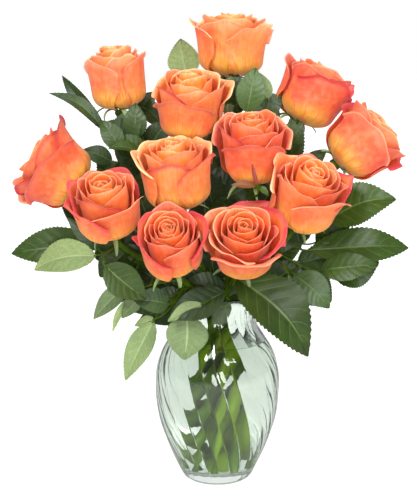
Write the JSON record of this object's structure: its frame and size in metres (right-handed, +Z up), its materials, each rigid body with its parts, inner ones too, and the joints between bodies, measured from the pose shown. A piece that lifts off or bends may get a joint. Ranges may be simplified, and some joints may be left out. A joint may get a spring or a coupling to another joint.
{
  "type": "roses in a vase",
  "caption": "Bouquet of cut orange roses with their leaves in a clear twisted-flute glass vase of water; a table decoration that stands free",
  "frame": {"origin": "centre of the vase foot, on the face it rests on", "axes": "+Z up along the vase axis; the bouquet is arranged to be seen from -Y, so +X is to the right of a person looking at it"},
  "size_m": [0.3824, 0.2331, 0.4465],
  "materials": {
    "glass": "clear moulded glass, polished, with soft twisted flutes",
    "water": "still clear water",
    "stem": "fresh green cut stem, satin, with small thorns and nodes",
    "petals": "soft orange and peach petals, velvety, deeper at the heart and pink at the rims",
    "leaf": "green rose leaf, slightly glossy above",
    "leaf_dark": "dark green rose leaf, slightly glossy",
    "leaf_pale": "pale matt underside of a rose leaf"
  },
  "bodies": {
    "root": {"vase": "glass", "water": "water", "rose_stem_a": "stem", "rose_head_a": "petals", "rose_stem_b": "stem", "rose_head_b": "petals", "rose_stem_c": "stem", "rose_head_c": "petals", "rose_stem_d": "stem", "rose_head_d": "petals", "rose_stem_e": "stem", "rose_head_e": "petals", "rose_stem_f": "stem", "rose_head_f": "petals", "rose_stem_g": "stem", "rose_head_g": "petals", "rose_stem_h": "stem", "rose_head_h": "petals", "rose_stem_i": "stem", "rose_head_i": "petals", "rose_stem_j": "stem", "rose_head_j": "petals", "rose_stem_k": "stem", "rose_head_k": "petals", "rose_stem_l": "stem", "rose_head_l": "petals", "leaf_01": "leaf_dark", "leaf_02": "leaf_dark", "leaf_03": "leaf_dark", "leaf_04": "leaf_dark", "leaf_05": "leaf_dark", "leaf_06": "leaf_dark", "leaf_07": "leaf_pale", "leaf_08": "leaf_pale", "leaf_09": "leaf", "leaf_10": "leaf_pale", "leaf_11": "leaf_dark", "leaf_12": "leaf_dark", "leaf_13": "leaf", "leaf_14": "leaf", "leaf_15": "leaf", "leaf_16": "leaf", "leaf_17": "leaf_dark", "leaf_18": "leaf_pale", "leaf_19": "leaf_pale", "leaf_20": "leaf_dark", "leaf_21": "leaf_pale", "leaf_22": "leaf_pale", "leaf_23": "leaf_dark", "leaf_24": "leaf_pale", "leaf_25": "leaf", "leaf_26": "leaf_dark", "leaf_27": "leaf_dark", "leaf_28": "leaf", "leaf_29": "leaf", "leaf_30": "leaf", "leaf_31": "leaf", "leaf_32": "leaf", "leaf_33": "leaf", "leaf_34": "leaf"}
  },
  "joints": []
}
